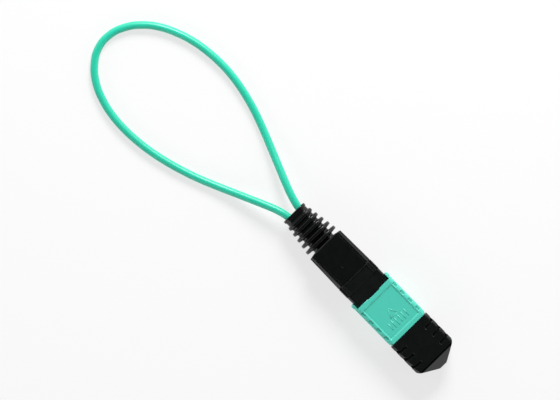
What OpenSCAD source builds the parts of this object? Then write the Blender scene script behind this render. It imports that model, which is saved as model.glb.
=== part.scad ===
// Multi-fibre loopback plug: a keyed push-pull plug whose short cable returns into the same boot.
// X runs along the plug towards the dust cap, Z is up, and the plug lies on its broad face.
// Inside the modules, u is the distance from the boot's rear face, and the plug's axis is y = z = 0.

/* [Boot] */
// Length of the ribbed tail, from its rear face to the base
tail_l = 11.2; // [11:0.1:14]
// Length of the boot's rectangular base
base_l = 10.8; // [10:0.1:13]
// Width of the base at its front
base_w = 11.0; // [10.4:0.05:11.1]
// Height of the base
base_h = 7.5; // [7.2:0.05:7.6]
// Width of the tail's core between the ribs
core_w = 6.6; // [6.3:0.1:7]
// Height of the tail's core between the ribs
core_h = 3.6; // [3.4:0.1:4]
// Number of ribs on the tail
rib_n = 5; // [3:1:5]
// Distance from one rib to the next
rib_pitch = 1.85; // [1.7:0.05:1.9]
// Width over the rearmost rib
rib_w_rear = 7.8; // [7.2:0.1:8.4]
// Width over the foremost rib
rib_w_front = 10.0; // [9.4:0.1:10.3]
// Thickness of a rib at its tip
rib_tip = 0.9; // [0.6:0.05:1]
// Thickness of a rib at its root
rib_root = 1.2; // [1.1:0.05:1.4]
// Length of the plain collar at the very rear
collar_l = 0.9; // [0.6:0.1:1.1]
// Width over that collar
collar_w = 7.1; // [6.9:0.1:7.4]
// Width of the raised panel on the base
panel_w = 8.3; // [7:0.1:8.6]

/* [Cable] */
// Outside diameter of the cable
cable_d = 2.0; // [1.6:0.1:2]
// Distance between the two cable ends in the boot
cable_pitch = 3.5; // [3.4:0.05:3.6]
// Length of each cable end held inside the boot
cable_grip = 9.3; // [8:0.1:9.6]

/* [Rear body] */
// Length of the block between the boot and the pull sleeve's travel
block_l = 3.2; // [3:0.1:4]
// Width over the block's side rails
block_w = 11.15; // [10.8:0.05:11.3]
// Length of the slimmer part that the pull sleeve slides over
slide_l = 3.0; // [2.9:0.1:3.6]
// Width of that slimmer part
slide_w = 11.0; // [10.6:0.05:11.1]
// Outside diameter of the crimp neck
neck_d = 4.6; // [4.5:0.05:4.7]
// Bore of the crimp neck
neck_bore = 3.5; // [3.4:0.05:3.6]
// Length of the crimp neck
neck_l = 9.0; // [8.5:0.1:9.5]
// Length of the arms that hold the main spring in the front housing
arm_l = 6.3; // [6:0.1:6.5]
// Length of the metal crimp ring
ring_l = 6.0; // [5:0.1:6.4]
// Wall of the crimp ring
ring_wall = 0.3; // [0.2:0.02:0.34]

/* [Front housing] */
// Length of the front housing
house_l = 21.9; // [21.6:0.1:22.4]
// Width of the front housing under the pull sleeve
house_w = 10.4; // [10:0.05:10.4]
// Height of the front housing under the pull sleeve
house_h = 6.2; // [6:0.05:6.2]
// Width of the plug's nose
nose_w = 9.8; // [9.4:0.05:9.8]
// Height of the plug's nose
nose_h = 5.6; // [5.4:0.05:5.6]
// Width of the key on the nose
key_w = 3.0; // [2.6:0.1:3.2]
// Height of the key above the nose
key_h = 0.5; // [0.3:0.05:0.5]

/* [Ferrule] */
// Width of the ferrule
ferrule_w = 6.4; // [6.4:0.05:6.6]
// Height of the ferrule
ferrule_h = 2.5; // [2.4:0.05:2.6]
// Length of the ferrule
ferrule_l = 8.0; // [7.8:0.1:8.2]
// Length of the ferrule's rear flange
flange_l = 2.0; // [1.8:0.1:2.2]
// How far the ferrule's face stands proud of the nose
ferrule_out = 0.8; // [0.6:0.1:1]
// Diameter of the two guide holes
guide_d = 0.7; // [0.68:0.01:0.72]
// Distance between the guide holes
guide_pitch = 4.6; // [4.55:0.05:4.65]
// Distance between neighbouring fibres
fibre_pitch = 0.25; // [0.24:0.005:0.255]
// Diameter of a bare fibre
fibre_d = 0.125; // [0.115:0.005:0.13]
// How far the ferrule gives way against its spring
float_travel = 0.5; // [0.3:0.05:0.6]

/* [Pull sleeve] */
// Length of the pull sleeve with its rear ears
sleeve_l = 14.4; // [14.3:0.1:15]
// Width of the pull sleeve
sleeve_w = 12.4; // [12.3:0.05:12.5]
// Height of the pull sleeve and of the dust cap
sleeve_h = 7.7; // [7.7:0.05:8]
// How far the ears reach behind the broad faces
ear_l = 1.6; // [1.2:0.1:1.8]
// Travel of the pull sleeve
sleeve_travel = 2.0; // [1.6:0.1:2]
// Depth of the recessed panel on each broad face
panel_depth = 0.15; // [0.1:0.01:0.18]
// Number of grip pockets along each edge
grip_n = 4; // [3:1:4]
// Distance from one grip pocket to the next
grip_pitch = 2.8; // [2.4:0.05:2.9]

/* [Dust cap] */
// Length of the dust cap
cap_l = 12.7; // [12.4:0.1:13]
// Width of the dust cap
cap_w = 12.6; // [12.4:0.05:12.6]
// Length of the roof-shaped end
roof_l = 2.4; // [2:0.1:2.4]
// Thickness of the flat tip
tip_h = 2.4; // [2:0.1:3]
// Width of the flat tip
tip_w = 2.2; // [1.8:0.1:3]
// Width of a grip groove
groove_w = 0.77; // [0.6:0.01:0.9]
// Distance from one grip groove to the next
groove_pitch = 2.68; // [2.4:0.02:2.7]

/* [Springs] */
// Wire diameter of the main spring
main_wire = 0.4; // [0.3:0.02:0.44]
// Wire diameter of a side spring
side_wire = 0.22; // [0.16:0.02:0.24]
// Outside diameter of a side spring
side_spring_d = 1.2; // [1:0.05:1.24]

/* [Hidden] */
$fn = 48;

// Clearances
seat = 0.05;       // between pieces that bear on each other
slip = 0.1;        // each side of pieces that slide on each other
hair = 0.03;       // each side of a fibre ribbon in its slot
over = 1;          // how far a cutting shape runs past the face it cuts
sunk = 0.5;        // how far a shape reaches into the one it grows from
lap = 0.1;         // how far thin strips run into each other

black = [0.07, 0.08, 0.085];
aqua = [0.33, 0.83, 0.72];
metal = [0.72, 0.73, 0.75];

// Stations along the plug, counted from the boot's rear face
boot_front = tail_l + base_l;
block_u = boot_front;
slide_u = block_u + block_l;
house_u = slide_u + slide_l;
house_end = house_u + house_l;
sleeve_u = slide_u + sleeve_travel + 0.2;
sleeve_end = sleeve_u + sleeve_l;
cap_u = sleeve_end + slip;
plug_l = cap_u + cap_l;
face_u = house_end + ferrule_out;
flange_u = face_u - ferrule_l;
step_u = flange_u + flange_l + seat;
arms_end = house_u + arm_l;
nose_u = sleeve_end;

// Yarn and crimp ring around the neck
neck_u = block_u - neck_l;
yarn_t = 0.2;
yarn_w = 0.7;
yarn_d = neck_d + 2 * slip;
ring_play = 0.02;
ring_u = neck_u + 1.4;
ring_d = yarn_d + 2 * (yarn_t + ring_wall + ring_play);

// Moulded walls and rooms
flange_out = 0.3;                   // how far the flange stands out from the ferrule's side
chamber_w = ferrule_w + 2 * flange_out + 2 * slip;
chamber_h = ferrule_h + 1.7;
mouth_w = chamber_w + 0.4;
mouth_h = chamber_h - 0.2;
mouth_l = 3.0;
room_w = house_w + 2 * slip;        // inside of the pull sleeve
room_h = house_h + 2 * slip;
ear_room_w = slide_w + 0.6;         // inside of the pull sleeve around the rear body
cap_room_w = nose_w + 2 * slip;     // inside of the dust cap
cap_room_h = nose_h + 2 * slip;

// Side spring channels, lugs and the notches that a socket's latches drop into
channel_h = side_spring_d + 0.3;
channel_floor = chamber_w / 2 + 0.65;
side_spring_y = channel_floor + 0.08 + side_spring_d / 2;
channel_out = side_spring_y + side_spring_d / 2 + 0.07;
channel_u = house_u + 2.8;
lug_l = 1.0;
lug_u = channel_u + 6.3;
channel_end = lug_u + lug_l + seat;
notch_l = 2.0;
notch_u = channel_end + 0.55;
notch_depth = 0.9;

// Places a shape given in u, y, z about the plug's axis
module plug() { translate([-plug_l / 2, 0, sleeve_h / 2]) children(); }

// Extrudes a y-z section along the plug, an x-y outline up and down, an x-z outline side to side
module along(u, l) { translate([u, 0, 0]) rotate([90, 0, 90]) linear_extrude(l) children(); }
module plan(h) { translate([0, 0, -h / 2]) linear_extrude(h) children(); }
module side(w) { translate([0, w / 2, 0]) rotate([90, 0, 0]) linear_extrude(w) children(); }

module bar(u, l, w, h, y = 0, z = 0) { translate([u, y - w / 2, z - h / 2]) cube([l, w, h]); }
module rod(u, l, d, y = 0, z = 0) { translate([u, y, z]) rotate([0, 90, 0]) cylinder(h = l, d = d); }
// Widens the mouth of a hole by out on every side, over a length l
module flare(u, l, d, out, y = 0) {
    translate([u - slip, y, 0]) rotate([0, 90, 0]) cylinder(h = l, d1 = d + 2 * out, d2 = d);
}
module both_sides() { children(); mirror([0, 1, 0]) children(); }
module both_faces() { children(); mirror([0, 0, 1]) children(); }

// Rectangle with rounded corners
module rounded(w, h, r) {
    square([w - 2 * r, h], center = true);
    square([w, h - 2 * r], center = true);
    for (sy = [-1, 1], sz = [-1, 1])
        translate([sy * (w / 2 - r), sz * (h / 2 - r)]) circle(r);
}
// Flat oval
module oval(w, h) {
    square([w - h, h], center = true);
    for (s = [-1, 1]) translate([s * (w - h) / 2, 0]) circle(d = h);
}
// Turns a half outline, listed from the rear to the front, into a symmetric one
function mirrored(half) =
    concat(half, [for (i = [len(half) - 1:-1:0]) [half[i][0], -half[i][1]]]);

// Rounded corner of an outline at u, y, l long and d deep: s is 1 at a front corner, -1 at a rear one
function corner(u, y, l, d, s) = [for (k = [0:3]) let (t = 30 * (s > 0 ? k : 3 - k))
    [u + s * l * (sin(t) - 1), y + d * (cos(t) - 1)]];

// A tube of n sides swept along points; across gives each ring its sideways direction
function unit(v) = v / norm(v);
function heading(p, i) = unit(p[min(i + 1, len(p) - 1)] - p[max(i - 1, 0)]);
function ring(p, i, r, n, up) =
    let (t = heading(p, i), a = unit(cross(up, t)), b = cross(t, a))
    [for (k = [0:n - 1]) p[i] + r * (cos((k + 0.5) * 360 / n) * a + sin((k + 0.5) * 360 / n) * b)];
module swept(p, r, n, up) {
    points = [for (i = [0:len(p) - 1]) each ring(p, i, r, n, up)];
    last = (len(p) - 1) * n;
    sides = [for (i = [0:len(p) - 2], k = [0:n - 1], half = [0, 1])
        let (a = i * n + k, b = i * n + (k + 1) % n)
        half == 0 ? [a, a + n, b] : [b, a + n, b + n]];
    polyhedron(points, concat(sides, [[for (k = [0:n - 1]) k]], [[for (k = [n - 1:-1:0]) last + k]]));
}

// Route of the cable, from one end in the boot round the loop to the other
cable_route = [
    [-18, 1.75, 3.85], [-23, 1.75, 3.85], [-27, 1.75, 3.85], [-30, 2.4, 3.8], [-34, 3.8, 3.4],
    [-38, 5.4, 2.7], [-42, 7, 1.9], [-46, 8.6, 1.3], [-50, 10.1, 1], [-54, 11.4, 1], [-58.5, 12.5, 1],
    [-63, 13.2, 1], [-67.5, 13.4, 1], [-72, 13.1, 1], [-76.5, 12.3, 1], [-81, 10.8, 1], [-85, 8.8, 1],
    [-88.5, 6, 1], [-91.2, 2.4, 1], [-92.6, -1.8, 1], [-92.2, -6.2, 1], [-89.8, -10, 1],
    [-86.2, -12.9, 1], [-82, -14.7, 1], [-77.5, -15.7, 1], [-73, -16, 1], [-68.5, -15.8, 1],
    [-64, -15.2, 1], [-59.5, -14.2, 1], [-55, -12.9, 1], [-50.5, -11.3, 1], [-46, -9.4, 1.2],
    [-42, -7.6, 1.7], [-38, -5.8, 2.5], [-34, -4, 3.3], [-30, -2.4, 3.8], [-27, -1.75, 3.85],
    [-23, -1.75, 3.85], [-18, -1.75, 3.85]];

module cable_loop() {
    color(aqua) swept(cable_route, cable_d / 2, 8, [0, 0, 1]);
}

// Half outline of the ribbed tail: distance along the plug, and distance out from the oval's spine
tail_spine = (core_w - core_h) / 2;
rib_first = collar_l + 1.6;
function rib_at(i) = rib_first + i * rib_pitch;
function rib_out(i) = (rib_w_rear + (rib_w_front - rib_w_rear) * i / (rib_n - 1)) / 2 - tail_spine;
soft = 0.15;
root_soft = 0.12;
function rib_half(i, s) = let (u = rib_at(i), r = rib_out(i), core = core_h / 2) [
    [u + s * (rib_root / 2 + root_soft), core], [u + s * rib_root / 2, core + root_soft],
    [u + s * rib_tip / 2, r - soft], [u + s * (rib_tip / 2 - soft), r]];
function rib_outline(i) = let (front = rib_half(i, 1))
    concat(rib_half(i, -1), [for (k = [3:-1:0]) front[k]]);
collar_out = collar_w / 2 - tail_spine;
tail_outline = concat(
    [[0, 0], [0, collar_out - soft], [soft, collar_out], [collar_l - soft, collar_out],
     [collar_l, core_h / 2]],
    [for (i = [0:rib_n - 1]) each rib_outline(i)],
    [[tail_l + sunk, core_h / 2], [tail_l + sunk, 0]]);

module tail() {
    both_sides() translate([0, tail_spine, 0]) rotate([0, 90, 0])
        rotate_extrude(angle = 180) polygon([for (p = tail_outline) [p[1], p[0]]]);
    side(2 * tail_spine)
        polygon(mirrored([for (i = [1:len(tail_outline) - 2]) tail_outline[i]]));
}

// Base: a block, slightly narrower at the rear, with a raised panel on each broad face, a groove
// along it, bands that slope to the sides, and a rear wall that leans forward towards them
base_r = 0.6;
base_draft = 0.2;
panel_groove = 0.25;
band_sunk = 0.12;
band_drop = 0.65;
rear_lean = 0.35;
rear_soft = 0.25;
gate_d = 0.5;
gate_rise = 0.06;
gate_y = -1;
gate_back = 3.2;                    // from the base's front
module base_section() {
    in = panel_w / 2 + panel_groove;
    low = base_h / 2 - band_drop;
    intersection() {
        rounded(base_w, base_h, base_r);
        polygon([[base_w / 2, low], [in, base_h / 2], [-in, base_h / 2], [-base_w / 2, low],
            [-base_w / 2, -low], [-in, -base_h / 2], [in, -base_h / 2], [base_w / 2, -low]]);
    }
}
module base() {
    difference() {
        intersection() {
            along(tail_l, base_l) base_section();
            plan(base_h + over) polygon(mirrored(concat([[tail_l, core_w / 2]],
                corner(tail_l + rear_lean, base_w / 2 - base_draft, rear_soft, rear_soft, -1),
                [[boot_front, base_w / 2]])));
            side(base_w + over) polygon(mirrored([[tail_l, base_h / 2 - rear_soft],
                [tail_l + rear_soft, base_h / 2], [boot_front, base_h / 2]]));
        }
        both_faces() both_sides() {
            bar(tail_l - over, base_l + 2 * over, panel_groove, 2 * panel_groove,
                (panel_w + panel_groove) / 2, base_h / 2);
            bar(tail_l - over, base_l + 2 * over, base_w, 2 * band_sunk,
                (panel_w + base_w) / 2, base_h / 2);
        }
    }
    both_faces() translate([boot_front - gate_back, gate_y, 0])
        cylinder(h = base_h / 2 + gate_rise, d = gate_d);
}

// Room in the boot for the neck, the yarn and the crimp ring, with a flat one for the fibres behind it
boot_room_d = ring_d + 2 * slip;
boot_room_wall = 0.9;
boot_room_u = tail_l + boot_room_wall;
cable_hole_d = cable_d + 2 * slip;
cable_flare = 0.3;
flare_l = 1.6;
module strain_boot() {
    color(black) plug() difference() {
        union() {
            tail();
            base();
        }
        rod(boot_room_u, boot_front + over - boot_room_u, boot_room_d);
        along(cable_grip + sunk, boot_room_u - cable_grip) oval(cable_pitch + cable_hole_d, cable_hole_d);
        both_sides() {
            rod(-over, cable_grip + 2 * over, cable_hole_d, cable_pitch / 2);
            flare(0, flare_l, cable_hole_d, cable_flare, cable_pitch / 2);
        }
    }
}

// Rear body: rail block, slimmer slide part, crimp neck behind and spring arms in front
rail_w = 0.7;
rail_in = 4.05;
rail_depth = 0.35;
rail_step = 0.3;
field_wall = 0.35;                  // between the block's rear end and its sunken field
block_h = base_h;
block_r = 0.8;
block_soft = 0.3;
slide_r = 0.7;
guide_h = 1.6;                      // ribs that guide the pull sleeve's ears
guide_w = ear_room_w - 2 * slip;
neck_flare = 0.3;
neck_flare_l = 0.7;
arm_w = chamber_w - 2 * seat;
arm_h = chamber_h - 2 * seat;
slot_u = house_u + 1;
slot_h = 1.6;
catch_u = house_u + 2.85;
catch_l = 1.8;
catch_w = 3.0;
catch_hook = 0.5;
catch_sunk = 0.3;                   // below the front housing's broad faces
ridge_n = 6;
ridge_pitch = 0.9;
ridge_l = 0.35;
ridge_rise = 0.08;
ridge_u = ring_u + 0.6;
module rear_body() {
    color(black) plug() difference() {
        union() {
            intersection() {
                along(block_u, block_l) rounded(block_w, block_h, block_r);
                plan(block_h + over) polygon(mirrored([[block_u, block_w / 2 - block_soft],
                    [block_u + block_soft, block_w / 2], [slide_u, block_w / 2]]));
                side(block_w + over) polygon(mirrored([[block_u, block_h / 2 - block_soft],
                    [block_u + block_soft, block_h / 2], [slide_u, block_h / 2]]));
            }
            along(slide_u - sunk, slide_l + sunk) rounded(slide_w, house_h, slide_r);
            bar(sleeve_u + slip, house_u - sleeve_u - slip, guide_w, guide_h);
            bar(house_u - sunk, arm_l + sunk, arm_w, arm_h);
            both_faces() side(catch_w) polygon([[catch_u, 0], [catch_u, house_h / 2 - catch_sunk],
                [catch_u + catch_hook, house_h / 2 - catch_sunk], [catch_u + catch_l, arm_h / 2],
                [catch_u + catch_l, 0]]);
            rod(neck_u, neck_l + sunk, neck_d);
            for (i = [0:ridge_n - 1])
                rod(ridge_u + i * ridge_pitch, ridge_l, neck_d + 2 * ridge_rise);
        }
        rod(neck_u - over, neck_l + block_l + slide_l + 2 * over, neck_bore);
        flare(neck_u, neck_flare_l, neck_bore, neck_flare);
        bar(slot_u, arm_l, arm_w + over, slot_h);
        both_faces() {
            bar(block_u + field_wall, block_l - field_wall + over, 2 * rail_in, 2 * rail_depth, 0,
                block_h / 2);
            both_sides() bar(block_u - over, block_l + over, block_w, 2 * rail_step,
                rail_in + rail_w + block_w / 2, block_h / 2);
        }
    }
}

groove_r = 0.14;
module crimp_ring() {
    color(metal) plug() difference() {
        rod(ring_u, ring_l, ring_d);
        rod(ring_u - over, ring_l + 2 * over, ring_d - 2 * ring_wall);
        for (i = [1:2]) translate([ring_u + i * ring_l / 3, 0, 0]) rotate([0, 90, 0])
            rotate_extrude() translate([ring_d / 2 + ring_play, 0]) circle(groove_r);
    }
}

// Aramid yarn: each end's strands lie over their own half of the neck and run back to the cable
yarn_z = 0.62;                      // height of the strands over the fibres
yarn_turn = 48;                     // where they reach the neck, as an angle round it
yarn_end = 0.3;                     // shows on each side of the crimp ring
module strand(u, l) {
    rotate([yarn_turn, 0, 0]) bar(u, l, yarn_t, yarn_w, (yarn_d + yarn_t) / 2);
}
module yarn() {
    lead = boot_room_u - cable_grip;
    difference() {
        rod(ring_u - yarn_end, ring_l + 2 * yarn_end, yarn_d + 2 * yarn_t);
        rod(ring_u - over, ring_l + 2 * over, yarn_d);
        bar(ring_u - over, ring_l + 2 * over, yarn_d, yarn_d + over, seat - yarn_d / 2);
    }
    bar(cable_grip + lap, lead + 2 * lap, yarn_w, yarn_t, cable_pitch / 2, yarn_z);
    hull() {
        bar(boot_room_u + lap, 2 * lap, yarn_w, yarn_t, cable_pitch / 2, yarn_z);
        strand(neck_u - 2 * lap, 2 * lap);
    }
    strand(neck_u - lap, ring_u - neck_u);
}
module yarn_left() { color("khaki") plug() yarn(); }
module yarn_right() { color("khaki") plug() mirror([0, 1, 0]) yarn(); }

// Six-fibre ribbon: spreads from its place in the ferrule to the middle of its cable end
half_n = 6;                         // fibres in one ribbon, and bores in one half of the ferrule
ribbon_t = 0.3;
ribbon_w = half_n * fibre_pitch - hair;
ribbon_y = half_n * fibre_pitch / 2;
ribbon_front = flange_u + 2.95;
ribbon_rear = cable_grip + float_travel + 2 * slip;   // leaves room to move back with the ferrule
spread_end = neck_u - 0.3;
function spread(u) = let (s = min(1, max(0, (u - ribbon_rear) / (spread_end - ribbon_rear))))
    cable_pitch / 2 + (ribbon_y - cable_pitch / 2) * s * s * (3 - 2 * s);
spread_steps = 8;
spread_us = [for (i = [0:spread_steps]) ribbon_rear + i * (spread_end - ribbon_rear) / spread_steps];
module ribbon() {
    plan(ribbon_t) polygon(concat(
        [for (u = spread_us) [u, spread(u) + ribbon_w / 2]],
        [[ribbon_front, ribbon_y + ribbon_w / 2], [ribbon_front, ribbon_y - ribbon_w / 2]],
        [for (i = [spread_steps:-1:0]) [spread_us[i], spread(spread_us[i]) - ribbon_w / 2]]));
    for (i = [0:half_n - 1])
        rod(ribbon_front - 2 * lap, face_u - ribbon_front + 2 * lap, fibre_d, (i + 0.5) * fibre_pitch);
}
module ribbon_left() { color("gainsboro") plug() ribbon(); }
module ribbon_right() { color("lightblue") plug() mirror([0, 1, 0]) ribbon(); }

// Thin tube that keeps both ribbons together through the neck
tube_u = neck_u + 1;
tube_end = house_u - 1;
tube_wall = 0.07;
tube_in_w = 2 * ribbon_w + 0.18;
tube_in_h = ribbon_t + 0.22;
module shrink_tube() {
    color("gray") plug() difference() {
        along(tube_u, tube_end - tube_u) oval(tube_in_w + 2 * tube_wall, tube_in_h + 2 * tube_wall);
        along(tube_u - over, tube_end - tube_u + 2 * over) oval(tube_in_w, tube_in_h);
    }
}

// Spring wire wound as an oval or a circle from u to u + l
function coil(u, l, turns, ry, rz, steps) = [for (i = [0:turns * steps])
    [u + l * i / (turns * steps), ry * cos(360 * i / steps), rz * sin(360 * i / steps)]];

spacer_l = 2.3;
spacer_u = flange_u - seat - spacer_l;
spacer_w = chamber_w - 0.3;
spacer_h = 3.4;
spacer_r = 0.3;
main_turns = 4;
main_ry = chamber_w / 2 - 0.9;
main_rz = chamber_h / 2 - 0.5;
module main_spring() {
    rise = main_wire / 2 + seat;
    color(metal) plug() swept(coil(arms_end + rise, spacer_u - arms_end - 2 * rise, main_turns,
        main_ry, main_rz, 14), main_wire / 2, 6, [1, 0, 0]);
}

rear_w = 3.56;
rear_h = 1.56;
rear_l = 3.2;
rear_play = 0.07;
pin_play = 0.15;
module ferrule_spacer() {
    color([0.25, 0.25, 0.27]) plug() difference() {
        along(spacer_u, spacer_l) rounded(spacer_w, spacer_h, spacer_r);
        bar(spacer_u - over, spacer_l + 2 * over, rear_w + 2 * rear_play, rear_h + 2 * rear_play);
        // Slots that leave room for the tips of a mating plug's guide pins
        bar(spacer_u - over, spacer_l + 2 * over, guide_pitch + 2 * guide_d, guide_d + 2 * pin_play);
    }
}

// Soft boot that guides both ribbons into the ferrule's rear pocket
guide_u = spacer_u - 0.6;
guide_l = flange_u + 1.95 - guide_u;
guide_rim = 0.4;
guide_rim_w = rear_w + 2 * slip;
guide_rim_h = rear_h + slip;
module ferrule_boot() {
    color([0.15, 0.15, 0.16]) plug() difference() {
        union() {
            bar(guide_u, guide_l, rear_w - 2 * hair, rear_h - 2 * hair);
            along(guide_u, guide_rim) rounded(guide_rim_w, guide_rim_h, 0.2);
        }
        bar(guide_u - over, guide_l + 2 * over, 2 * (ribbon_w + 2 * hair), ribbon_t + 2 * hair);
    }
}

// Window in the ferrule's top through which the fibres are glued
window_u = flange_u + 2.35;
window_l = 2.2;
window_w = 3.0;
window_z = 0.2;
flange_h = ferrule_h + 0.5;
face_soft = 0.3;
bore_play = 0.005;
module mt_ferrule() {
    color([0.16, 0.14, 0.13]) plug() difference() {
        union() {
            intersection() {
                bar(flange_u, ferrule_l, ferrule_w, ferrule_h);
                plan(ferrule_h + over) polygon(mirrored([[flange_u, ferrule_w / 2],
                    [face_u - face_soft, ferrule_w / 2], [face_u, ferrule_w / 2 - face_soft]]));
            }
            bar(flange_u, flange_l, ferrule_w + 2 * flange_out, flange_h);
        }
        bar(flange_u - over, rear_l + over, rear_w, rear_h);
        bar(window_u, window_l, window_w, ferrule_h, 0, window_z + ferrule_h / 2);
        both_sides() {
            rod(flange_u - over, ferrule_l + 2 * over, guide_d, guide_pitch / 2);
            for (i = [0:half_n - 1])
                rod(flange_u + rear_l - over, ferrule_l, fibre_d + bore_play, (i + 0.5) * fibre_pitch);
        }
    }
}
module epoxy_fill() {
    color([0.75, 0.62, 0.3]) plug()
        bar(window_u + hair, window_l - 2 * hair, window_w - 2 * hair, ferrule_h / 2 - window_z - hair,
            0, window_z + hair / 2 + (ferrule_h / 2 - window_z) / 2);
}

// Front housing: the wide part takes the pull sleeve, and the nose with its key enters a socket
house_r = 0.5;
house_flange_l = 1.0;
nose_r = 0.4;
nose_lead = 0.6;
nose_in = 0.35;
key_u = nose_u + 0.8;
key_end = house_end - 0.6;
module key(u, out) {
    bar(u, key_end + out - u, key_w + 2 * out, nose_h / 2 + key_h + out, 0, (nose_h / 2 + key_h + out) / 2);
}
module front_housing() {
    color(black) plug() difference() {
        union() {
            along(house_u, nose_u - slip - house_u) rounded(house_w, house_h, house_r);
            along(house_u, house_flange_l) rounded(slide_w, house_h, slide_r);
            bar(house_u, house_flange_l, guide_w, guide_h);
            intersection() {
                along(nose_u - sunk, house_end - nose_u + sunk) rounded(nose_w, nose_h, nose_r);
                plan(house_h) polygon(mirrored([[nose_u - over, nose_w / 2],
                    [house_end - nose_lead, nose_w / 2], [house_end, nose_w / 2 - nose_in]]));
                side(house_w) polygon(mirrored([[nose_u - over, nose_h / 2],
                    [house_end - nose_lead, nose_h / 2], [house_end, nose_h / 2 - nose_in]]));
            }
            key(key_u, 0);
        }
        bar(house_u - over, step_u - house_u + over, chamber_w, chamber_h);
        bar(step_u - over, house_end - step_u + 2 * over, ferrule_w + 2 * slip, ferrule_h + 2 * slip);
        bar(house_end - mouth_l, mouth_l + over, mouth_w, mouth_h);
        both_faces() bar(catch_u - slip, catch_l + 3 * slip, catch_w + 2 * slip, house_h, 0, house_h / 2);
        both_sides() {
            bar(channel_u, channel_end - channel_u, house_w, channel_h, channel_floor + house_w / 2);
            bar(notch_u, notch_l, house_w, house_h + over, house_w / 2 - notch_depth + house_w / 2);
        }
    }
}

// Side springs lie between the channel's rear wall and the pull sleeve's lug
side_turns = 8;
module side_spring() {
    rise = side_wire / 2 + seat;
    translate([0, side_spring_y, 0])
        swept(coil(channel_u + rise, lug_u - channel_u - 2 * rise, side_turns,
            (side_spring_d - side_wire) / 2, (side_spring_d - side_wire) / 2, 10),
            side_wire / 2, 5, [1, 0, 0]);
}
module sleeve_spring_left() { color(metal) plug() side_spring(); }
module sleeve_spring_right() { color(metal) plug() mirror([0, 1, 0]) side_spring(); }

// Pull sleeve: rounded box tube with rear ears, recessed panels, grip pockets and inner lugs
sleeve_r = 1.1;
front_l = 1.1;
front_d = 0.8;
ear_r = 0.4;
lip_w = 0.13;
lip_l = 1.1;
lip_soft = 0.3;
ear_edge = 0.2;                     // of the broad faces left at each ear's root
top_u = sleeve_u + ear_l;
step_l = 0.2;
step_w = 3.9;
panel_side = 0.1;
panel_slope = 0.2;
panel_u = top_u + 1.6;
panel_end = sleeve_end - 1.1;
panel_half = room_w / 2 - panel_side;
pocket_l = 1.3;
pocket_w = 0.8;
pocket_depth = 0.4;
pocket_y = sleeve_w / 2 - 1.1;
grip_u = top_u + 1.45;
scallop_r = 3;
scallop_depth = 0.1;
scallop_side = 1.2;
lug_in = channel_floor + 2 * slip;
lug_out = room_w / 2 + 2 * slip;
module sleeve_lip() {
    root = sleeve_w / 2 - front_d;
    intersection() {
        along(sleeve_u, lip_l) rounded(sleeve_w + 2 * lip_w, sleeve_h, sleeve_r + lip_w);
        plan(sleeve_h + over) polygon(concat([[sleeve_u, root]],
            corner(sleeve_u, sleeve_w / 2 + lip_w, ear_r, ear_r, -1),
            [[sleeve_u + lip_l - lip_soft, sleeve_w / 2 + lip_w], [sleeve_u + lip_l, sleeve_w / 2],
             [sleeve_u + lip_l, root]]));
    }
}
module grips() {
    for (i = [0:grip_n - 1]) translate([grip_u + i * grip_pitch, 0, 0]) {
        both_faces() bar(0, pocket_l, pocket_w, 2 * pocket_depth, pocket_y + pocket_w / 2, sleeve_h / 2);
        translate([pocket_l / 2, sleeve_w / 2 + scallop_r - scallop_depth, 0])
            cylinder(h = sleeve_h - 2 * scallop_side, r = scallop_r, center = true);
    }
}
module pull_sleeve() {
    wide_end = house_u + house_flange_l + sleeve_travel + 2 * slip;
    color(aqua) plug() difference() {
        union() {
            intersection() {
                along(sleeve_u, sleeve_l) rounded(sleeve_w, sleeve_h, sleeve_r);
                plan(sleeve_h + over) polygon(mirrored(concat(
                    corner(sleeve_u, sleeve_w / 2, ear_r, ear_r - lip_w, -1),
                    corner(sleeve_end, sleeve_w / 2, front_l, front_d, 1))));
            }
            both_sides() sleeve_lip();
        }
        // Wide room over the rear body, close room over the front housing
        bar(sleeve_u - over, wide_end - sleeve_u + over, ear_room_w, room_h);
        bar(sleeve_u - over, sleeve_l + 2 * over, room_w, room_h);
        both_sides() bar(channel_u - sleeve_travel, lug_u - channel_u + sleeve_travel,
            channel_out - channel_floor, channel_h, (channel_out + channel_floor) / 2);
        // Broad faces end in front of the ears, with a shallow step in the middle
        bar(sleeve_u - over, ear_l + over, ear_room_w - 2 * ear_edge, sleeve_h + over);
        both_faces() {
            side(2 * panel_half) polygon([[panel_u - panel_slope, sleeve_h / 2],
                [panel_u, sleeve_h / 2 - panel_depth], [panel_end - panel_slope, sleeve_h / 2 - panel_depth],
                [panel_end, sleeve_h / 2], [panel_end, sleeve_h], [panel_u - panel_slope, sleeve_h]]);
            bar(top_u - over, over + step_l, step_w, sleeve_h, 0, sleeve_h / 2);
        }
        both_sides() grips();
    }
    color(aqua) plug() both_sides()
        bar(lug_u, lug_l, lug_out - lug_in, channel_h - 2 * slip, (lug_out + lug_in) / 2);
}

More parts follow.
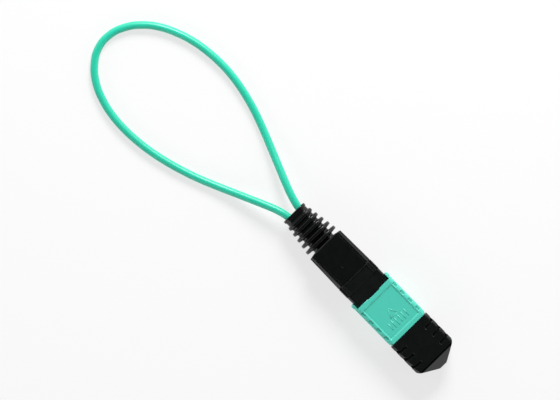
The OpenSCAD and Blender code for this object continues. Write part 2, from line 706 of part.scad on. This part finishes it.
// Dust cap: rounded box closed by a roof-shaped end, with grip grooves that hook back at the edges
cap_r = 1.0;
cap_soft = 0.15;
nose_room = 0.4;                    // in the cap in front of the nose
face_room = 0.6;                    // and in front of the ferrule
tip_soft = 0.3;
roof_u = plug_l - roof_l;
shoulder = [[1.3, 0], [0.8, 0.25], [0.4, 0.6], [0.05, 1.1]];   // back from the roof, in from the side
groove_n = 3;
groove_u = cap_u + 2.6;
groove_in = 3.3;
groove_depth = 0.5;
groove_margin = 0.6;                // between the side grooves and the broad faces
hook_l = 1.0;
hook_w = 1.2;
module groove_plan() {
    polygon([[-groove_w / 2, groove_in], [groove_w / 2, groove_in], [groove_w / 2, cap_w / 2 - hook_w],
        [-groove_w / 2, cap_w / 2 + slip], [-groove_w / 2 - hook_l, cap_w / 2 + slip],
        [-groove_w / 2, cap_w / 2 - hook_w]]);
}
module dust_cap() {
    color(black) plug() difference() {
        intersection() {
            along(cap_u, cap_l) rounded(cap_w, sleeve_h, cap_r);
            plan(sleeve_h + over) polygon(mirrored(concat(
                [[cap_u, cap_w / 2 - cap_soft], [cap_u + cap_soft, cap_w / 2]],
                [for (p = shoulder) [roof_u - p[0], cap_w / 2 - p[1]]],
                [[plug_l - tip_soft / 2, tip_w / 2 + tip_soft], [plug_l, tip_w / 2]])));
            side(cap_w + over) polygon(mirrored([[cap_u, sleeve_h / 2], [roof_u, sleeve_h / 2],
                [plug_l, tip_h / 2]]));
        }
        bar(cap_u - over, house_end + nose_room - cap_u + over, cap_room_w, cap_room_h);
        bar(cap_u - over, face_u + face_room - cap_u + over, mouth_w, mouth_h);
        key(cap_u - over, slip);
        for (i = [0:groove_n - 1]) translate([groove_u + i * groove_pitch, 0, 0]) both_sides() {
            both_faces() translate([0, 0, sleeve_h / 2 - groove_depth])
                linear_extrude(over) groove_plan();
            intersection() {
                plan(sleeve_h - 2 * groove_margin) groove_plan();
                bar(-groove_w - hook_l, 2 * (groove_w + hook_l), 2 * groove_depth, sleeve_h, cap_w / 2);
            }
        }
    }
}

cable_loop();
strain_boot();
rear_body();
crimp_ring();
yarn_left();
yarn_right();
shrink_tube();
ribbon_left();
ribbon_right();
main_spring();
ferrule_spacer();
ferrule_boot();
mt_ferrule();
epoxy_fill();
front_housing();
sleeve_spring_left();
sleeve_spring_right();
pull_sleeve();
dust_cap();
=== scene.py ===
import math

import bmesh
import bpy
from mathutils import Matrix, Vector, geometry


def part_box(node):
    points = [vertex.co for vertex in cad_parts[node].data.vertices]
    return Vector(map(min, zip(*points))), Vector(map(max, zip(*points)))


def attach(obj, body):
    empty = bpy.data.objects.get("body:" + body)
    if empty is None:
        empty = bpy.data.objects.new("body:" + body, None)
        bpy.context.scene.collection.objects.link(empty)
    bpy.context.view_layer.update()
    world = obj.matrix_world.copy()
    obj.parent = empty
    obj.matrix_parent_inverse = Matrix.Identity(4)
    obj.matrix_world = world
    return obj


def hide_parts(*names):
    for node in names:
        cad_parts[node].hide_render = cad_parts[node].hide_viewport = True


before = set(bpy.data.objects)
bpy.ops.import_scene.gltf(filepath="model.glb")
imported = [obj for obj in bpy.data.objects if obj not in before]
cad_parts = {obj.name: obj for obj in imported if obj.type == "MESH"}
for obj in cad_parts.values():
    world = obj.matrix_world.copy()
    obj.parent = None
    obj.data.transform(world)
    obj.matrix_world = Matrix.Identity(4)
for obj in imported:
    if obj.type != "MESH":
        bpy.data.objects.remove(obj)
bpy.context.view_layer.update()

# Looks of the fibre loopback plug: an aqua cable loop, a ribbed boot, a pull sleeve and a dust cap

MM = 0.001

SLEEVE_LOW, SLEEVE_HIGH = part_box("pull_sleeve")
AXIS_Z = (SLEEVE_LOW.z + SLEEVE_HIGH.z) / 2       # height of the plug's axis


# ---------------------------------------------------------------- materials

# Sockets of a colour mix node, which share their names with those for other kinds of value
MIX_SHARE, MIX_FIRST, MIX_SECOND, MIX_RESULT = 0, 6, 7, 2


def linear(hex_colour):
    """An sRGB hex colour as linear red, green, blue and alpha."""
    parts = [int(hex_colour[i:i + 2], 16) / 255 for i in (1, 3, 5)]
    return [c / 12.92 if c <= 0.04045 else ((c + 0.055) / 1.055) ** 2.4 for c in parts] + [1.0]


def add(tree, kind, settings=None, links=None):
    """Adds a node; settings name its properties or input sockets, links join input sockets to outputs."""
    made = tree.nodes.new(kind)
    for name, value in (settings or {}).items():
        if isinstance(name, str) and hasattr(made, name) and name not in made.inputs:
            setattr(made, name, value)
        else:
            made.inputs[name].default_value = value
    for name, output in (links or {}).items():
        tree.links.new(output, made.inputs[name])
    return made


def shaded(name, **sockets):
    """A new material with its shader's plain sockets set, and the shader."""
    material = bpy.data.materials.new(name)
    material.use_nodes = True
    tree = material.node_tree
    shader = tree.nodes["Principled BSDF"]
    for socket, value in sockets.items():
        shader.inputs[socket.replace("_", " ")].default_value = value
    return material, tree, shader


def place(tree):
    return tree.nodes.new("ShaderNodeTexCoord").outputs["Object"]


def moulded(name, colour, shade, roughness, grain_mm, grain_depth, mottle_mm=1.6, spread=0.08,
            **sockets):
    """A surface with the fine grain of its tool or die, and a faint mottle in colour and gloss.

    The grain's width and depth are in millimetres. It is drawn somewhat coarser than the real one,
    which is too fine to show.
    """
    material, tree, shader = shaded(name, **sockets)
    where = place(tree)
    mottle = add(tree, "ShaderNodeTexNoise", {"Scale": 1 / (mottle_mm * MM), "Detail": 4.0},
                 {"Vector": where})
    tone = add(tree, "ShaderNodeMix",
               {"data_type": "RGBA", MIX_FIRST: linear(colour), MIX_SECOND: linear(shade)},
               {MIX_SHARE: mottle.outputs["Fac"]})
    gloss = add(tree, "ShaderNodeMapRange", {"To Min": roughness - spread, "To Max": roughness + spread},
                {"Value": mottle.outputs["Fac"]})
    grain = add(tree, "ShaderNodeTexNoise", {"Scale": 1 / (grain_mm * MM), "Detail": 3.0},
                {"Vector": where})
    relief = add(tree, "ShaderNodeBump", {"Strength": 1.0, "Distance": grain_depth * MM},
                 {"Height": grain.outputs["Fac"]})
    tree.links.new(tone.outputs[MIX_RESULT], shader.inputs["Base Color"])
    tree.links.new(gloss.outputs["Result"], shader.inputs["Roughness"])
    tree.links.new(relief.outputs["Normal"], shader.inputs["Normal"])
    return material


# PBT, satin moulding: the pull sleeve; an even, slightly milky aqua
AQUA_PBT = moulded("aqua_pbt_moulded", "#54D1BD", "#4DCBB5", 0.4, 0.12, 0.0025, IOR=1.55)
# LSZH jacket, extruded smooth: a deep aqua under a soft waxy sheen
AQUA_JACKET = moulded("aqua_lszh_jacket", "#2ED0AE", "#24C6A2", 0.34, 0.25, 0.003, mottle_mm=6, IOR=1.5)
# Thermoplastic elastomer, smooth tool: the boot; deep black, with a soft sheen along the ribs
BLACK_TPE = moulded("black_tpe_moulded", "#060808", "#0A0C0C", 0.28, 0.1, 0.002, spread=0.04, IOR=1.48)
# PBT on a fine spark-eroded tool: the rear body and the housing; satin black, faintly speckled
BLACK_PBT = moulded("black_pbt_spark_eroded", "#080B0B", "#0F1212", 0.3, 0.16, 0.004, spread=0.05, IOR=1.55)
# Polypropylene, polished tool: the dust cap; smooth with bright edges
BLACK_PP = moulded("black_pp_moulded", "#0A0D0D", "#0F1212", 0.27, 0.2, 0.001, spread=0.04, IOR=1.49)
# PPS filled with glass: the ferrule; near black brown, matt with fine pale flecks
FERRULE_PPS = moulded("ferrule_pps_glass_filled", "#211C1A", "#3A332E", 0.45, 0.05, 0.001,
                      mottle_mm=0.12, IOR=1.65)
# Silicone rubber: the small boot inside the ferrule's rear
RUBBER = moulded("silicone_rubber_black", "#18191A", "#202122", 0.6, 0.2, 0.002, IOR=1.43)
# Polyolefin heat-shrink: the tube round the ribbons, slightly glossy
SHRINK_TUBE = moulded("polyolefin_heat_shrink", "#4A4C4E", "#55585A", 0.35, 0.4, 0.002, IOR=1.49)
# UV-cured acrylate over glass fibre: the ribbons, clear and glossy
FIBRE_RIBBON = moulded("acrylate_fibre_ribbon", "#BFD2DE", "#D2DEE6", 0.18, 0.25, 0.001, IOR=1.5)
# Cured epoxy: amber, glassy
EPOXY = moulded("cured_epoxy_amber", "#A9772E", "#B98B3E", 0.15, 0.5, 0.001, IOR=1.55)
# Aramid yarn: straw-coloured strands with a silky sheen
ARAMID_YARN = moulded("aramid_yarn", "#CDB45C", "#E0CB7C", 0.55, 0.08, 0.01, mottle_mm=0.3, IOR=1.6,
                      Sheen_Weight=0.3)
# Spring steel, drawn: the coil springs; bright, evenly grey wire
SPRING_STEEL = moulded("spring_steel_drawn", "#B4B5B7", "#C2C3C4", 0.28, 0.08, 0.0006, Metallic=1.0)
# Brass, turned and nickel plated: the crimp ring; a warm white, slightly satin metal
BRASS_NICKEL = moulded("nickel_plated_brass", "#BDB6A8", "#C9C3B6", 0.3, 0.1, 0.0008, Metallic=1.0)


# ---------------------------------------------------------------- shapes

WELD = 2e-6                       # corners nearer to each other than this are one, in metres
FLAT_TURN = math.radians(1.0)     # faces that turn less than this are one
SHARP_TURN = math.radians(22)     # edges that turn more than this are rounded
CROSS_TURN = 0.45                 # sine of the turn from which a neighbouring edge ends a rounding
SHARED, ALONE = 0.45, 0.9         # share of a face that a rounding takes, if its far edge is rounded or not
CREASE = 0.015                    # a rounding under this radius stays a crease, in millimetres


def to_piece(name, build, body, material, stands_for=None):
    """Makes an object from a bmesh and seats it on its body."""
    mesh = bpy.data.meshes.new(name)
    build.to_mesh(mesh)
    build.free()
    piece = bpy.data.objects.new(name, mesh)
    bpy.context.scene.collection.objects.link(piece)
    mesh.materials.append(material)
    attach(piece, body)
    if stands_for:
        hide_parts(stands_for)
    return piece


def smooth(piece):
    piece.data.polygons.foreach_set("use_smooth", [True] * len(piece.data.polygons))


def keep_flat(piece):
    """Shades large faces flat, so that only the roundings between them turn the light."""
    flats = piece.modifiers.new("flat_faces", "WEIGHTED_NORMAL")
    flats.weight = 100
    return flats


def point_gap(point, a, b):
    """Shortest way from a point to a straight edge."""
    near, share = geometry.intersect_point_line(point, a, b)
    return (point - near).length if 0 <= share <= 1 else min((point - a).length, (point - b).length)


def segment_gap(a, b, c, d):
    """Shortest way between two straight edges, taken at their ends and middles."""
    gaps = [point_gap(point, c, d) for point in (a, b, (a + b) / 2)]
    return min(gaps + [point_gap(point, a, b) for point in (c, d, (c + d) / 2)])


def is_sharp(edge):
    return len(edge.link_faces) == 2 and edge.calc_face_angle(0) > SHARP_TURN


def room_for_radius(edge):
    """How wide an edge can be rounded before the rounding meets the next edge."""
    room = 1.0
    start, end = edge.verts
    along = (end.co - start.co).normalized()
    for face in edge.link_faces:
        for other in face.edges:
            if other is edge:
                continue
            share = SHARED if is_sharp(other) else ALONE
            step = other.verts[1].co - other.verts[0].co
            if set(edge.verts) & set(other.verts):
                turn = along.cross(step.normalized()).length
                if turn > CROSS_TURN:
                    room = min(room, step.length * turn * share)
            else:
                gap = segment_gap(start.co, end.co, other.verts[0].co, other.verts[1].co)
                room = min(room, gap * share)
    return room


def softened(node, name, body, material, radius, segments=3):
    """The node's solid with each moulded edge rounded as far as its neighbours leave room."""
    build = bmesh.new()
    build.from_mesh(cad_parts[node].data)
    bmesh.ops.remove_doubles(build, verts=build.verts, dist=WELD)
    bmesh.ops.dissolve_limit(build, angle_limit=FLAT_TURN, verts=build.verts, edges=build.edges)
    weights = build.edges.layers.float.new("bevel_weight_edge")
    for edge in build.edges:
        if is_sharp(edge):
            edge[weights] = min(1.0, room_for_radius(edge) / (radius * MM))
            edge.smooth = edge[weights] * radius > CREASE
    piece = to_piece(name, build, body, material, node)
    smooth(piece)
    bevel = piece.modifiers.new("edge_radius", "BEVEL")
    bevel.width = radius * MM
    bevel.segments = segments
    bevel.limit_method = "WEIGHT"
    bevel.use_clamp_overlap = False
    bevel.miter_outer = "MITER_ARC"
    keep_flat(piece).keep_sharp = True


# Sleeve, in millimetres from its own middle; along the plug from the sleeve's rear end
SLEEVE_A, SLEEVE_B, SLEEVE_R = 6.2, 3.85, 1.1     # half width, half height, corner radius
SLEEVE_L = (SLEEVE_HIGH.x - SLEEVE_LOW.x) / MM
FLAT_A, FLAT_B = SLEEVE_A - SLEEVE_R, SLEEVE_B - SLEEVE_R    # where the corners begin
ON_FACE = 0.01                                    # skin this close to the broad face belongs to it
SIDE_FROM = 5.7                                   # skin further out than this belongs to the side
RIM = [(0.0, 0.1), (0.03, 0.03), (0.1, 0.0)]      # rounding of an end: how far in, how far back

# The bore: half width, half height, corner radius, and its start inside the rim
ROOM_A, ROOM_B, ROOM_R, ROOM_START = 5.3, 3.2, 0.25, 0.02
EAR_ROOM_A, EAR_ROOM_L = 5.8, 4.0                 # wider part behind, half width and length

EAR_L = 1.6
EAR_TURN = 63.0                                   # where the ears end, as an angle on the corner
EAR_FROM = FLAT_A + SLEEVE_R * math.cos(math.radians(EAR_TURN))
EAR_R = 0.35                                      # rounding of an ear's rear corner
LIP, LIP_L, LIP_SLOPE = 0.13, 1.1, 0.3            # raised lip at an ear's end
STEP_A, STEP_L = 1.95, 0.2                        # step in the middle of the rear edge
FRONT_L, FRONT_D, FRONT_FROM = 1.1, 0.7, 5.2      # rounding of the front corners

PANEL = (3.2, SLEEVE_L - 1.1)                     # recessed panel, from and to
PANEL_A, PANEL_DEPTH, PANEL_SLOPE = 5.04, 0.26, 0.24
POCKETS = [3.05 + 2.8 * i for i in range(4)]      # grip pockets along both corners
POCKET_L, POCKET_IN, POCKET_OUT, POCKET_FLOOR = 1.3, 5.2, 5.95, 3.45
SCALLOP_R, SCALLOP_OFF, SCALLOP_B, SCALLOP_HALF = 3.0, 2.9, 2.65, 0.77    # hollows in the sides

ARROW_APEX, ARROW_BASE, ARROW_HALF = 6.9, 9.2, 1.2
ARROW_LEGS = ((-1, 0.14), (1, 0.15))              # side and height of each leg
ARROW_LEG_W, ARROW_BASE_SIZE = 0.32, (2 * ARROW_HALF + 0.1, 0.3, 0.13)
BARS, BARS_X, BARS_FROM, BARS_PITCH, BAR_SIZE = 6, 10.75, -2.75, 1.1, (2.3, 0.4, 0.14)
BAR_TOP = 0.6                                     # width of a bar's top over that of its foot
LUG_AT, LUG_SIZE = (10.4, 4.98), (1.0, 1.05, 1.3)    # lugs in the bore, each against a side spring

# Where the mesh has its lines: up the side, round the corner in degrees, and across the broad face
SIDE_STEPS = [0, 0.35, 0.66, 0.7, 1]
CORNER_TURNS = [10, 20, 30, 38, 43.3, 52, EAR_TURN - 0.5, EAR_TURN + 0.5, 72, 81]
FLAT_STEPS = [FLAT_A, PANEL_A, 4.98, 4.86, 4.79, 4.7, 3.5, STEP_A + 0.02, STEP_A - 0.02, 0]
REAR_STATIONS = [0.14, 0.2, 0.28, 0.35, 0.5, 0.8, 0.95, 1.1, 1.75, 2.0, 2.5]
FRONT_STATIONS = [SLEEVE_L - d for d in (1.0, 0.8, 0.6, 0.45, 0.32, 0.22, 0.15)]
SCALLOP_STATIONS = (-0.76, -0.5, -0.25, 0, 0.25, 0.5, 0.76)
BESIDE, LEAST_STEP = 0.03, 0.025                  # lines either side of an edge; closest two stations


def part_way(value):
    """A value held between 0 and 1."""
    return min(1.0, max(0.0, value))


def round_over(t):
    """How far an edge of radius 1 has dropped at a way t into it."""
    return 1 - math.sqrt(1 - part_way(t) ** 2)


def quarter(a, b, r):
    """Quarter of a rounded rectangle, from the middle of its side to the middle of its top."""
    points = [(a, z * (b - r)) for z in SIDE_STEPS]
    points += [(a - r + r * math.cos(math.radians(t)), b - r + r * math.sin(math.radians(t)))
               for t in CORNER_TURNS]
    return points + [(y * (a - r) / FLAT_A, b) for y in FLAT_STEPS]


def ring_of(points):
    """All round, from a quarter that starts on the side and ends at the middle of the top."""
    right = points + [(-y, z) for y, z in reversed(points[:-1])]
    return right + [(y, -z) for y, z in reversed(right[1:-1])]


def sleeve_start(y, z):
    """Where the sleeve begins at a place on its section."""
    if abs(z) < FLAT_B or abs(y) > EAR_FROM:
        return 0.0
    return EAR_L + (STEP_L if abs(y) < STEP_A else 0.0)


def sleeve_skin(x, y, z):
    """A place on the plain outside, moved to where the lip, panel, pockets and scallops put it."""
    out = 0.0
    if abs(y) > SIDE_FROM:
        out += LIP * part_way((LIP_L - x) / LIP_SLOPE) - EAR_R * round_over(1 - x / EAR_R)
        for start in POCKETS:
            off = x - start - POCKET_L / 2
            if abs(z) < SCALLOP_B and abs(off) < SCALLOP_HALF:
                out -= math.sqrt(SCALLOP_R ** 2 - off * off) - SCALLOP_OFF
    out -= FRONT_D * round_over((x - SLEEVE_L + FRONT_L) / FRONT_L) * part_way(abs(y) - FRONT_FROM)
    down = 0.0
    if abs(z) > SLEEVE_B - ON_FACE:
        down = PANEL_DEPTH * part_way((PANEL_A - abs(y)) / PANEL_SLOPE) * part_way(
            (x - PANEL[0]) / PANEL_SLOPE + 1) * part_way((PANEL[1] - x) / PANEL_SLOPE)
    if POCKET_IN < abs(y) < POCKET_OUT and any(p < x < p + POCKET_L for p in POCKETS):
        down = max(0.0, abs(z) - POCKET_FLOOR)
    return x, y + out * math.copysign(1, y), z - down * math.copysign(1, z)


def stations():
    """Where the sleeve's sections lie: close together at each edge of the panel and of the pockets."""
    edges = [PANEL[0] - PANEL_SLOPE, PANEL[0], PANEL[1] - PANEL_SLOPE, PANEL[1]]
    edges += [e for p in POCKETS for e in (p, p + POCKET_L)]
    close = [e + d for e in edges for d in (-BESIDE, BESIDE)]
    scallops = [p + POCKET_L / 2 + d for p in POCKETS for d in SCALLOP_STATIONS]
    found = []
    for x in sorted(close + scallops + REAR_STATIONS + FRONT_STATIONS):
        if not found or x - found[-1] > LEAST_STEP:
            found.append(x)
    return found


def skin_rows():
    """The sleeve's sections from outside rear to outside front, and back along the inside."""
    outside = ring_of(quarter(SLEEVE_A, SLEEVE_B, SLEEVE_R))
    outward = [Vector((y - math.copysign(min(abs(y), FLAT_A), y),
                       z - math.copysign(min(abs(z), FLAT_B), z))) for y, z in outside]
    inward = [-t.normalized() for t in outward]
    rows = []

    def outer(at, back):
        row = []
        for (y, z), n in zip(outside, inward):
            x = at(sleeve_start(y, z))
            sx, sy, sz = sleeve_skin(x, y, z)
            row.append((sx, sy + n[0] * back, sz + n[1] * back))
        rows.append(row)

    for ahead, back in RIM:
        outer(lambda start: start + ahead, back)
    for x in stations():
        outer(lambda start: max(x, start + RIM[-1][0]), 0)
    for ahead, back in reversed(RIM):
        outer(lambda start: SLEEVE_L - ahead, back)
    bore = ((SLEEVE_L - ROOM_START, ROOM_A), (EAR_ROOM_L, ROOM_A),
            (EAR_ROOM_L, EAR_ROOM_A), (0, EAR_ROOM_A))
    for x, a in bore:
        inside = ring_of(quarter(a, ROOM_B, ROOM_R))
        rows.append([(max(x, sleeve_start(*o) + ROOM_START), y, z) for (y, z), o in zip(inside, outside)])
    return rows


def bar_on(build, centre, size, turn=0.0):
    """A raised bar with sloping sides on the sleeve's panel."""
    made = bmesh.ops.create_cube(build, size=1.0)["verts"]
    for vert in made:
        shrink = BAR_TOP if vert.co.z > 0 else 1.0
        flat = Vector((vert.co.x * (size[0] - (1 - shrink) * size[1]), vert.co.y * size[1] * shrink, 0))
        flat.rotate(Matrix.Rotation(turn, 3, "Z"))
        vert.co = Vector((centre[0], centre[1], centre[2] + vert.co.z * size[2])) + flat


def sleeve_moulding():
    """The pull sleeve: ears, stepped rear edge, recessed panels, grip pockets, arrow and raised bars."""
    build = bmesh.new()
    grid = [[build.verts.new(point) for point in row] for row in skin_rows()]
    for row, after in zip(grid, grid[1:] + grid[:1]):
        for i in range(len(row)):
            k = (i + 1) % len(row)
            build.faces.new((row[i], row[k], after[k], after[i]))
    bmesh.ops.remove_doubles(build, verts=build.verts, dist=1e-4)
    bmesh.ops.recalc_face_normals(build, faces=build.faces)
    floor = SLEEVE_B - PANEL_DEPTH
    leg = math.hypot(ARROW_BASE - ARROW_APEX, ARROW_HALF)
    slope = math.atan2(ARROW_HALF, ARROW_BASE - ARROW_APEX)
    for side, height in ARROW_LEGS:    # each its own height, so that no two tops share a plane
        centre = ((ARROW_APEX + ARROW_BASE) / 2, side * ARROW_HALF / 2, floor)
        bar_on(build, centre, (leg, ARROW_LEG_W, height), side * slope)
    bar_on(build, (ARROW_BASE, 0, floor), ARROW_BASE_SIZE, math.pi / 2)
    for i in range(BARS):
        bar_on(build, (BARS_X, BARS_FROM + BARS_PITCH * i, floor), BAR_SIZE)
    for side in (-1, 1):
        for vert in bmesh.ops.create_cube(build, size=1.0)["verts"]:
            x, y, z = (c * size for c, size in zip(vert.co, LUG_SIZE))
            vert.co = Vector((LUG_AT[0] + x, side * (LUG_AT[1] + y), z))
    middle = Vector((SLEEVE_LOW.x, 0, AXIS_Z))
    for vert in build.verts:
        vert.co = middle + vert.co * MM
    return build


SLEEVE = to_piece("pull_sleeve_moulding", sleeve_moulding(), "sleeve", AQUA_PBT,
                  "pull_sleeve")
smooth(SLEEVE)
keep_flat(SLEEVE)
softened("dust_cap", "dust_cap_moulding", "cap", BLACK_PP, 0.1)
softened("rear_body", "rear_body_moulding", "plug_body", BLACK_PBT, 0.08)
softened("front_housing", "front_housing_moulding", "plug_body", BLACK_PBT, 0.08)
softened("strain_boot", "strain_boot_moulding", "plug_body", BLACK_TPE, 0.07)

# Route of the cable's centreline, from one end in the boot round the loop to the other, in millimetres
CABLE_ROUTE = [
    (-18, 1.75, 3.85), (-23, 1.75, 3.85), (-27, 1.75, 3.85), (-30, 2.4, 3.8), (-34, 3.8, 3.4),
    (-38, 5.4, 2.7), (-42, 7, 1.9), (-46, 8.6, 1.3), (-50, 10.1, 1), (-54, 11.4, 1), (-58.5, 12.5, 1),
    (-63, 13.2, 1), (-67.5, 13.4, 1), (-72, 13.1, 1), (-76.5, 12.3, 1), (-81, 10.8, 1), (-85, 8.8, 1),
    (-88.5, 6, 1), (-91.2, 2.4, 1), (-92.6, -1.8, 1), (-92.2, -6.2, 1), (-89.8, -10, 1),
    (-86.2, -12.9, 1), (-82, -14.7, 1), (-77.5, -15.7, 1), (-73, -16, 1), (-68.5, -15.8, 1),
    (-64, -15.2, 1), (-59.5, -14.2, 1), (-55, -12.9, 1), (-50.5, -11.3, 1), (-46, -9.4, 1.2),
    (-42, -7.6, 1.7), (-38, -5.8, 2.5), (-34, -4, 3.3), (-30, -2.4, 3.8), (-27, -1.75, 3.85),
    (-23, -1.75, 3.85), (-18, -1.75, 3.85)]
CABLE_D = 2.0
TURN_STEPS = 12           # points in a spring's turn


def wire(name, points, diameter, body, material, stands_for):
    """A round wire or cable, given in metres, as one smooth tube with flat ends."""
    curve = bpy.data.curves.new(name, "CURVE")
    curve.dimensions = "3D"
    curve.bevel_depth = diameter / 2
    curve.bevel_resolution = 6
    curve.resolution_u = 6
    curve.use_fill_caps = True
    line = curve.splines.new("BEZIER")
    line.bezier_points.add(len(points) - 1)
    for knot, point in zip(line.bezier_points, points):
        knot.co = Vector(point)
        knot.handle_left_type = knot.handle_right_type = "AUTO"
    curve.materials.append(material)
    piece = bpy.data.objects.new(name, curve)
    bpy.context.scene.collection.objects.link(piece)
    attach(piece, body)
    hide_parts(stands_for)
    return piece


def spring(node, turns, diameter):
    """A wound spring that fills its node's box."""
    low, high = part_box(node)
    middle = (low + high) / 2
    reach = (high - low) / 2 - Vector((1, 1, 1)) * diameter / 2
    points = [(middle.x + reach.x * (2 * i / (turns * TURN_STEPS) - 1),
               middle.y + reach.y * math.cos(2 * math.pi * i / TURN_STEPS),
               middle.z + reach.z * math.sin(2 * math.pi * i / TURN_STEPS))
              for i in range(turns * TURN_STEPS + 1)]
    wire(node + "_wire", points, diameter, "plug_body", SPRING_STEEL, node)


CABLE = wire("cable_jacket", [Vector(point) * MM for point in CABLE_ROUTE], CABLE_D * MM,
             "plug_body", AQUA_JACKET, "cable_loop")
spring("main_spring", 4, 0.4 * MM)
spring("sleeve_spring_left", 8, 0.22 * MM)
spring("sleeve_spring_right", 8, 0.22 * MM)

# Pieces whose solids already have their real shape
for node, material in (("mt_ferrule", FERRULE_PPS), ("ferrule_spacer", BLACK_PBT), ("ferrule_boot", RUBBER),
                       ("epoxy_fill", EPOXY), ("ribbon_left", FIBRE_RIBBON), ("ribbon_right", FIBRE_RIBBON),
                       ("shrink_tube", SHRINK_TUBE), ("crimp_ring", BRASS_NICKEL),
                       ("yarn_left", ARAMID_YARN), ("yarn_right", ARAMID_YARN)):
    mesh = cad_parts[node].data
    mesh.materials.clear()
    mesh.materials.append(material)

# ---------------------------------------------------------------- studio

LENS, SENSOR = 300.0, 36.0
VIEW_W = 142.85           # what the picture's width covers at the plug's mid-height, in millimetres
CENTRE = Vector((-31.95, -0.25, 0)) * MM          # what lies in the middle of the picture
RIGHT = Vector((0.700, 0.714, 0)).normalized()    # the picture's rightward direction on the table
UP = Vector((-RIGHT.y, RIGHT.x, 0))
FLOOR_REACH = 3.0         # half the side of the paper, in metres
FLOOR_WHITE = 0.7         # how much of the floor's shadow is taken out


def make_camera():
    data = bpy.data.cameras.new("camera")
    data.lens, data.sensor_width = LENS, SENSOR
    data.clip_start, data.clip_end = 0.01, 5
    camera = bpy.data.objects.new("camera", data)
    bpy.context.scene.collection.objects.link(camera)
    bpy.context.scene.camera = camera
    height = AXIS_Z + VIEW_W * MM * LENS / SENSOR
    turn = Matrix((RIGHT, UP, Vector((0, 0, 1)))).transposed().to_4x4()
    camera.matrix_world = Matrix.Translation((CENTRE.x, CENTRE.y, height)) @ turn


def area_light(name, towards, distance, size, power):
    """A soft lamp on the plug, from a direction in picture terms: right, up and towards the eye."""
    data = bpy.data.lights.new(name, "AREA")
    data.shape, data.size, data.energy = "DISK", size, power
    lamp = bpy.data.objects.new(name, data)
    bpy.context.scene.collection.objects.link(lamp)
    direction = (RIGHT * towards[0] + UP * towards[1] + Vector((0, 0, towards[2]))).normalized()
    lamp.location = CENTRE + direction * distance
    lamp.rotation_euler = (-direction).to_track_quat("-Z", "Y").to_euler()


def make_floor():
    build = bmesh.new()
    bmesh.ops.create_grid(build, x_segments=1, y_segments=1, size=FLOOR_REACH)
    mesh = bpy.data.meshes.new("floor")
    build.to_mesh(mesh)
    build.free()
    floor = bpy.data.objects.new("floor", mesh)
    bpy.context.scene.collection.objects.link(floor)
    material, tree, shader = shaded("white_paper_sweep", Base_Color=linear("#F4F4F4"), Roughness=0.9,
                                    Specular_IOR_Level=0.2)
    # Seen straight or in a reflection the paper is white, with most of the shadow taken out
    path = tree.nodes.new("ShaderNodeLightPath")
    seen = add(tree, "ShaderNodeMath", {"operation": "MAXIMUM"},
               {0: path.outputs["Is Camera Ray"], 1: path.outputs["Is Glossy Ray"]})
    seen = add(tree, "ShaderNodeMath", {"operation": "MAXIMUM"},
               {0: seen.outputs[0], 1: path.outputs["Is Transmission Ray"]})
    share = add(tree, "ShaderNodeMath", {"operation": "MULTIPLY", 1: FLOOR_WHITE}, {0: seen.outputs[0]})
    white = add(tree, "ShaderNodeEmission", {"Color": (1, 1, 1, 1), "Strength": 1.0})
    mixed = add(tree, "ShaderNodeMixShader", None,
                {0: share.outputs[0], 1: shader.outputs[0], 2: white.outputs[0]})
    tree.links.new(mixed.outputs[0], tree.nodes["Material Output"].inputs["Surface"])
    mesh.materials.append(material)


make_camera()
make_floor()
area_light("key_above", (0.2, 1.0, 0.75), 0.6, 0.25, 4.0)
area_light("fill_below", (-0.5, -1.0, 0.6), 0.7, 0.35, 0.5)


def make_world():
    """A white tent round the table, open above: bright at the sides and dark overhead."""
    world = bpy.data.worlds.new("studio")
    world.use_nodes = True
    bpy.context.scene.world = world
    tree = world.node_tree
    toward = add(tree, "ShaderNodeSeparateXYZ", links={
        "Vector": tree.nodes.new("ShaderNodeTexCoord").outputs["Generated"]})
    height = add(tree, "ShaderNodeMapRange",
                 {"From Min": 0.5, "From Max": 0.62, "To Min": 1.0, "To Max": 0.03},
                 {"Value": toward.outputs["Z"]})
    backdrop = tree.nodes["Background"]
    backdrop.inputs["Color"].default_value = (1, 1, 1, 1)
    tree.links.new(height.outputs["Result"], backdrop.inputs["Strength"])


make_world()
bpy.context.scene.view_settings.view_transform = "Standard"
